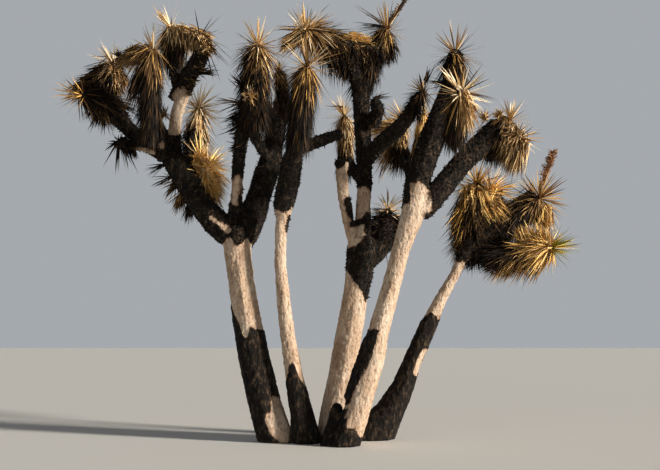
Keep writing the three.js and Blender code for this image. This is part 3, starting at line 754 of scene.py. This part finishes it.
# loose tufts: root, pointing, spread, count, leaf length, tones
tufts = [
    ((-0.38, -0.6, 2.79), (0.05, -1, 0), 60, 60, 0.1, "brown0 straw1"),
    (at(200, 72, -0.12), (1, 0, 0.05), 34, 26, 0.21, burnts),
    (at(170, 26, 0.4), (-0.62, -0.1, 0.75), 9, 70, 0.21, "pale0 straw0 gold1"),
    (at(133, 55, -0.5), (-0.5, 0, 0.7), 65, 70, 0.11, burnts),
    (at(123, 57, -0.42), (-0.9, 0, 0.5), 60, 60, 0.12, burnts),
    (at(241, 103, -0.38), (-1, 0, 0), 22, 14, 0.25, "burnt0 brown1 brown0"),
    (at(246, 90, -0.4), (-0.62, 0, 0.8), 9, 7, 0.28, "burnt1 brown1"),
    (at(240, 86, -0.4), (-0.9, 0, 0.5), 16, 5, 0.16, "burnt1 brown1"),
    (at(117, 143, -0.33), (-0.55, 0, -1), 5, 4, 0.25, burnts),
    (at(118, 145, -0.33), (0, 0, -1), 6, 7, 0.28, burnts),
    (at(122, 146, -0.33), (0.22, 0, -1), 7, 9, 0.28, burnts),
    (at(125, 147, -0.33), (0.5, 0, -1), 6, 5, 0.27, burnts),
    (at(124, 146, -0.33), (0.5, 0, -0.5), 12, 7, 0.14, burnts),
    (at(116, 142, -0.33), (-0.6, 0, -0.3), 20, 8, 0.12, burnts),
    (at(182, 192, 0.02), (-0.35, 0, -1), 30, 130, 0.22, browns),
    (at(190, 204, 0.02), (-0.2, 0, -1), 25, 60, 0.2, burnts),
    (at(176, 182, 0.02), (-0.7, 0, -0.9), 30, 60, 0.2, browns),
    (at(166, 164, 0), (-1, 0, -0.5), 25, 16, 0.22, "burnt1"),
    (at(172, 176, 0), (-0.9, 0, -0.4), 30, 18, 0.22, "burnt1 brown1"),
    (at(345, 108, 0.8), (-1, 0, 0.15), 12, 8, 0.22, "brown1 brown0"),
    ((-0.76, 1, 3.62), (-0.3, 0, 1), 60, 40, 0.18, "burnt0"),
    (at(425, 84, -0.74), (0.3, -0.1, 1), 30, 22, 0.2, "burnt0 burnt1 brown1"),
    (at(450, 84, -0.05), (-1, -0.1, 0.08), 12, 16, 0.26, "burnt0 burnt1"),
    (at(485, 119, -0.2), (-0.1, -0.4, 0.5), 70, 80, 0.1, "straw1 brown0 straw0"),
    (at(499, 117, -0.18), (-0.1, -0.3, 0.6), 60, 70, 0.1, "straw1 brown0"),
    (at(461, 91, -1.16), (-0.7, -0.3, 0.75), 3, 3, 0.31, "pale0"),
    (at(461, 91, -1.16), (0.75, -0.2, 0.65), 3, 3, 0.27, "pale0"),
    (at(466, 92, -1.1), (1, 0, -0.2), 3, 3, 0.38, "brown1 brown0"),
    (at(307, 63, -1), (0.93, 0, 0.4), 5, 4, 0.34, "straw1 brown0"),
    (at(304, 30, -0.08), (-1, 0, 0.03), 6, 12, 0.33, "straw1 brown1"),
    (at(304, 30, -0.08), (0.8, 0, 0.45), 14, 22, 0.36, "straw1 brown1 burnt1"),
    (at(303, 29, -0.06), (-0.05, 0, 1), 7, 34, 0.17, "gold1 straw0"),
    (at(386, 27, 0.32), (-1, 0, 0.08), 13, 12, 0.42, burnts),
    (at(384, 24, 0.3), (-0.72, 0, 0.5), 5, 5, 0.4, "brown1 brown0"),
    (at(164, 113, 0), (-0.4, -0.6, -0.3), 75, 150, 0.12, dried),
    (at(372, 66, 0.16), (0.25, 0, -1), 16, 26, 0.2, "brown1 brown0"),
    (at(374, 98, -0.15), (1, 0, 0.1), 14, 9, 0.2, burnts),
]
# fringes hang from a line: two ends, pointing, spread, count, leaf length, tones
fringes = [
    (at(245, 104, -0.38), at(242, 128, -0.3), (-1, 0, -0.4), 22, 60, 0.24, burnts),
    (at(243, 112, -0.38), at(239, 150, -0.2), (-0.8, -0.4, -0.3), 40, 170, 0.11, burnts),
    (at(192, 162, 0.45), at(198, 128, 0.6), (0.5, -0.4, -0.8), 34, 560, 0.13, "brown1 burnt1 burnt0 brown0"),
    (at(188, 160, 0.42), at(190, 126, 0.52), (-0.1, -0.5, -0.8), 30, 420, 0.13, burnts),
    (at(200, 158, 0.2), at(209, 186, 0.16), (0.5, -0.4, -0.7), 38, 520, 0.19, "gold0 gold1 gold0 brown0"),
    (at(172, 46, 0.28), at(184, 46, 0.1), (-0.08, -0.1, -1), 14, 300, 0.24, burnts),
    (at(184, 90, 0.05), at(201, 62, -0.15), (0.9, -0.3, -0.3), 40, 420, 0.06, browns),
    (at(199, 42, -0.2), at(211, 50, -0.24), (0.6, -0.4, -0.5), 60, 300, 0.06, "gold1 straw1 brown0 brown1"),
    (at(198, 34, -0.32), at(206, 46, -0.3), (0.3, -0.6, -0.7), 50, 240, 0.09, dried),
    (at(82, 97, -0.58), at(104, 110, -0.5), (0.5, 0, -1), 18, 50, 0.24, browns),
    (at(90, 84, -0.42), at(112, 65, -0.18), (-0.8, -0.15, -0.6), 20, 900, 0.25,
     "brown0 brown1 burnt1 burnt0"),
    (at(92, 92, -0.48), at(114, 78, -0.3), (-0.2, -0.2, -1), 30, 900, 0.2, burnts),
    (at(114, 66, -0.2), at(118, 74, -0.22), (0.5, -0.2, -0.8), 24, 220, 0.2, dulled),
    (at(152, 47, -0.86), at(130, 55, -0.5), (-0.7, -0.1, -0.6), 18, 420, 0.22, dulled),
    (at(142, 84, -0.78), at(140, 66, -0.8), (-0.42, 0, -1), 12, 90, 0.32, burnts),
    (at(170, 29, 0.34), at(197, 38, -0.2), (0.3, -0.3, -0.8), 18, 760, 0.21,
     "straw1 straw0 brown0 brown1 brown1"),
    (at(172, 28, 0.3), at(202, 35, -0.24), (0.85, -0.35, -0.4), 13, 560, 0.15, "straw0 straw1 gold1 brown0"),
    (at(300, 33, -0.1), at(305, 34, -0.08), (-1, -0.1, -0.72), 11, 300, 0.29,
     "brown1 straw1 brown0 straw0 burnt1"),
    (at(318, 37, 0), at(366, 44, 0.15), (0.5, -0.2, -1), 20, 1100, 0.21, dulled),
    (at(330, 46, 0.02), at(378, 50, 0.18), (0.1, -0.2, -1), 24, 1500, 0.2, burnts),
    (at(322, 50, 0.04), at(340, 58, 0.1), (0.05, 0, -1), 14, 90, 0.3, burnts),
    (at(338, 58, 0.06), at(352, 66, 0.14), (-0.1, 0, -1), 20, 260, 0.2, burnts),
    (at(322, 36, -0.02), at(368, 40, 0.12), (0.9, -0.4, -0.15), 16, 460, 0.09, "gold0 straw1 gold1 gold0"),
    (at(372, 44, 0.24), at(391, 44, 0.35), (0.1, -0.2, -1), 16, 700, 0.22, burnts),
    (at(400, 121, 1.2), at(384, 132, 1.1), (-0.9, -0.1, -0.1), 26, 240, 0.26, "straw0 gold1 straw1 brown0"),
    (at(402, 136, 1.15), at(392, 143, 1.1), (-0.5, 0, -1), 16, 170, 0.42, dried),
    (at(386, 214, 0.22), at(382, 240, 0.18), (-1, -0.4, -0.4), 42, 900, 0.19, burnts),
    (at(389, 216, 0.24), at(387, 240, 0.2), (0.9, -0.4, -0.4), 42, 800, 0.17, burnts),
    (at(470, 250, 0.26), at(520, 212, 0.52), (-0.3, -0.2, -1), 38, 2400, 0.2, burnts),
    (at(480, 236, 0.36), at(532, 194, 0.56), (-0.85, -0.2, -0.55), 14, 1300, 0.24, burnts),
    (at(512, 210, 0.5), at(538, 197, 0.58), (-0.8, -0.35, -0.65), 15, 460, 0.32,
     "brown0 brown1 straw1 burnt1"),
    (at(468, 236, 0.32), at(463, 200, 0.38), (-0.55, -0.1, -1), 22, 600, 0.31, "brown1 brown0 burnt1 gold1"),
    (at(466, 188, 0.4), at(492, 192, 0.44), (0, -0.4, -1), 34, 560, 0.25, "gold0 gold1 straw0 gold1 brown0"),
    (at(478, 206, 0.34), at(494, 206, 0.38), (0.5, -0.3, -0.9), 26, 260, 0.2, "gold1 gold0 brown0"),
    (at(534, 206, 0.54), at(548, 209, 0.5), (0, -0.1, -1), 27, 420, 0.24, "straw1 gold1 gold0 brown0"),
    (at(522, 246, 0.15), at(550, 246, 0.08), (-0.4, 0, 1), 30, 520, 0.22, "gold0 straw1 gold1 brown0"),
    (at(506, 254, 0.2), at(550, 251, 0.1), (-0.55, 0, -0.72), 15, 460, 0.34, "straw1 brown0 gold1 brown1"),
    (at(472, 256, 0.24), at(500, 256, 0.2), (-0.6, 0, -0.42), 14, 200, 0.17, burnts),
    (at(506, 122, -0.06), at(524, 142, -0.12), (-0.35, 0, -1), 17, 1500, 0.34, "straw1 brown0 brown1 straw0"),
    (at(490, 132, -0.04), at(508, 138, -0.06), (-0.3, 0, -1), 20, 700, 0.3, "brown1 burnt1 burnt0"),
    (at(462, 94, -1.12), at(466, 98, -1.05), (0.2, 0, -1), 20, 180, 0.32, "straw0 straw1 brown0"),
]

# burnt leaf bases on the boughs: one for each square of the spacing; long and ashen are shares of them
stubPlan = {"spacing": 0.0155, "length": (0.008, 0.020), "width": (0.014, 0.022), "sunk": 0.006,
            "scatter": 0.004, "tilt": 0.4, "rise": (0, 0, 0.3), "long": 0.06, "longer": 2.2, "ashen": 0.22,
            "backCorners": (0.6, 0.8),
            "colours": {"charredStubs": linear(18, 14, 11), "ashenStubs": linear(60, 48, 36)}}
stubs = {"charredStubs": [], "ashenStubs": []}


def growStubs(mesh, shaggy, rng):
    count = len(mesh.polygons)
    centres, normals = tableOf(mesh.polygons, "center"), tableOf(mesh.polygons, "normal")
    areas = np.empty(count)
    mesh.polygons.foreach_get("area", areas)
    first = np.array([polygon.vertices[0] for polygon in mesh.polygons])
    weight = areas * shaggy[first]
    number = int(weight.sum() / stubPlan["spacing"] ** 2) // 1
    if number == 0:
        return
    picked = rng.choice(count, number, p=weight / weight.sum())
    normal = normals[picked]
    roots = centres[picked] - normal * stubPlan["sunk"] + rng.normal(0, stubPlan["scatter"], (number, 3))
    direction = unit(normal + rng.normal(0, stubPlan["tilt"], (number, 3)) + stubPlan["rise"])
    across = unit(np.cross(direction, rng.normal(0, 1, (number, 3))))
    other = np.cross(direction, across)
    wide = rng.uniform(*stubPlan["width"], number)[:, None] / 2
    reach = rng.uniform(*stubPlan["length"], number)[:, None]
    long = rng.uniform(0, 1, (number, 1)) < stubPlan["long"]
    reach = np.where(long, reach * stubPlan["longer"], reach)
    inward, aside = stubPlan["backCorners"]
    back = roots - across * wide * inward
    corners = [roots + across * wide, back + other * wide * aside, back - other * wide * aside,
               roots + direction * reach]
    grown = np.stack(corners, 1)
    grown[:, :, 2] = np.maximum(grown[:, :, 2], 0.0)
    ashen = rng.uniform(0, 1, number) < stubPlan["ashen"]
    stubs["charredStubs"].append(grown[~ashen])
    stubs["ashenStubs"].append(grown[ashen])


def dealPieces(label, grown, pattern, most, material, firstName):
    # pieces of at most so many leaves or stubs, each with the same few faces
    corners = grown.shape[1]
    pieces = []
    for part, start in enumerate(range(0, len(grown), most)):
        some = grown[start:start + most]
        name = f"{label}_{part}" if part else firstName
        mesh = bpy.data.meshes.new(name)
        mesh.from_pydata(some.reshape(-1, 3), [],
                         [tuple(i * corners + k for k in face) for i in range(len(some)) for face in pattern])
        mesh.materials.append(material)
        mesh.update()
        piece = addObject(name, mesh)
        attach(piece, "root")
        pieces.append(piece)
        print("piece", name, len(some))
    return pieces


seed = 41
rng = np.random.default_rng(seed)
barkMaterial = woodMaterial()
for name, (nodes, _) in wood.items():
    nodes = nodes.split()
    piece, shaggy = buildWood(name, nodes)
    piece.data.materials.append(barkMaterial)
    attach(piece, "root")
    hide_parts(*nodes)
    growStubs(piece.data, shaggy, rng)
    print("wood", name, len(piece.data.polygons))

for plan in [*heads.values(), *sideShoots]:
    growRosette(plan, rng)
    growSkirt(plan, rng)
for root, pointing, spread, count, leaf, choices in tufts:
    growTuft(root, pointing, spread, count, leaf, choices, rng)
for start, end, pointing, spread, count, leaf, choices in fringes:
    growTuft(start, pointing, spread, count, leaf, choices, rng, end)

# corners of the faces of one leaf and of one stub, and how many a piece holds
leafPattern, mostLeaves = [(0, 1, 3, 2), (2, 3, 5, 4), (4, 5, 6)], 39000
stubPattern, mostStubs = [(0, 1, 3), (1, 2, 3), (2, 0, 3)], 60000
lowestLeaf = 0.01
kindOf = {"olive": "gold"}  # looks that aren't a kind of their own
for kind, colours in tones.items():
    pieces = []
    for index, colour in enumerate(colours):
        tone = f"{kind}{index}"
        grown = np.concatenate(blades[tone])
        grown[:, :, 2] = np.maximum(grown[:, :, 2], lowestLeaf)
        material = leafMaterial("leaf_" + tone, linear(*colour))
        pieces += dealPieces("leaves_" + tone, grown, leafPattern, mostLeaves, material,
                             "leaves_" + tone)
    # the first piece of each kind stands for the CAD heads of that kind
    own = ["head_" + name for name, plan in heads.items() if kindOf.get(plan["look"], plan["look"]) == kind]
    if kind == "burnt":
        own += ["skirt_arm", "sheath_right"]
    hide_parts(*own)

for label, grown in stubs.items():
    dealPieces(label, np.concatenate(grown), stubPattern, mostStubs,
               leafMaterial(label, stubPlan["colours"][label]), label + "_0")

# flower stalks: points, the radius at each, number and reach of the dry twigs
stalks = {
    "stalk_top": dict(points=[(0.58, 0.35, 4.40), (0.68, 0.35, 4.54), (0.77, 0.35, 4.68), (0.84, 0.35, 4.80)],
                      radii=[0.030, 0.024, 0.018, 0.006], twigs=120, reach=(0.03, 0.07), look="burntStalk",
                      colour=linear(52, 38, 27)),
    "stalk_right": dict(points=[at(541, 188, 0.6), at(546, 172, 0.6), at(552, 160, 0.6), at(553, 151, 0.6)],
                        radii=[0.018, 0.016, 0.012, 0.005], twigs=230, reach=(0.03, 0.085), look="driedStalk",
                        colour=linear(140, 101, 70)),
}
stalkTwig = {"radii": [0.006, 0.003], "sides": 5, "stalkSides": 7, "lowest": 0.1, "rise": (0.1, 0.9),
             "longest": 1.1, "shortening": 0.3}


def stalkMesh(plan, rng):
    bm = bmesh.new()
    path = [Vector(p) for p in plan["points"]]
    limbTube(bm, plan["points"], plan["radii"], stalkTwig["stalkSides"])
    for _ in range(plan["twigs"]):
        share = rng.uniform(stalkTwig["lowest"], 1.0) * (len(path) - 1)
        step = min(int(share), len(path) - 2)
        root = path[step].lerp(path[step + 1], share - step)
        turn = rng.uniform(0, 2 * math.pi)
        point = Vector((math.cos(turn), math.sin(turn), rng.uniform(*stalkTwig["rise"]))).normalized()
        shorter = stalkTwig["longest"] - stalkTwig["shortening"] * share / len(path)
        reach = rng.uniform(*plan["reach"]) * shorter
        limbTube(bm, [root, root + point * reach], stalkTwig["radii"], stalkTwig["sides"])
    return meshFrom("stalk", bm)


for name, plan in stalks.items():
    mesh = stalkMesh(plan, rng)
    mesh.materials.append(leafMaterial(plan["look"], plan["colour"]))
    piece = addObject("flower_" + name, mesh)
    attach(piece, "root")
    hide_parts(name)
    print("stalk", name, len(mesh.polygons))

# a low key light from the right and a weak fill: place, power and colour of each
studio = {
    "floor": linear(226, 223, 217), "floorSize": 120, "floorRoughness": 0.9,
    "sky": (0.90, 0.95, 1.0, 1), "horizon": 0.42, "overhead": 0.05, "band": (0.40, 0.60),
    "target": (0, 0, 2.2), "keyAngle": 7, "fillSize": 5,
    "key": ((30, -12.5, 9.8), 6.7, (1.0, 0.94, 0.85)), "fill": ((-6, -10, 4.5), 60, (0.92, 0.96, 1.0)),
}
bpy.context.scene.view_settings.view_transform = "Standard"
bpy.ops.mesh.primitive_plane_add(size=studio["floorSize"], location=(0, 0, 0))
floor = bpy.context.active_object
floor.name = "floor"
floorMaterial, tree, shader = newMaterial("floor")
feed(tree, shader, {"Base Color": studio["floor"], "Roughness": studio["floorRoughness"]})
floor.data.materials.append(floorMaterial)

world = bpy.data.worlds.new("studio")
bpy.context.scene.world = world
world.use_nodes = True
tree = world.node_tree
direction = addNode(tree, "TexCoord", out="Generated")
upward = addNode(tree, "SeparateXYZ", {0: direction}, "Z")
low, high = studio["band"]
# a bright band low down, dark overhead
glow = mapped(tree, upward, {"From Min": low, "From Max": high, "To Min": studio["horizon"],
                             "To Max": studio["overhead"]})
feed(tree, tree.nodes["Background"], {"Color": studio["sky"], "Strength": glow})


def hangLight(name, kind):
    place, power, colour = studio[name]
    light = bpy.data.lights.new(name, kind)
    light.energy = power
    light.color = colour
    lamp = addObject(name, light)
    lamp.location = place
    lamp.rotation_euler = (Vector(studio["target"]) - Vector(place)).to_track_quat("-Z", "Y").to_euler()
    return light


hangLight("key", "SUN").angle = math.radians(studio["keyAngle"])
fillLight = hangLight("fill", "AREA")
fillLight.shape = "DISK"
fillLight.size = studio["fillSize"]
print("studio set")
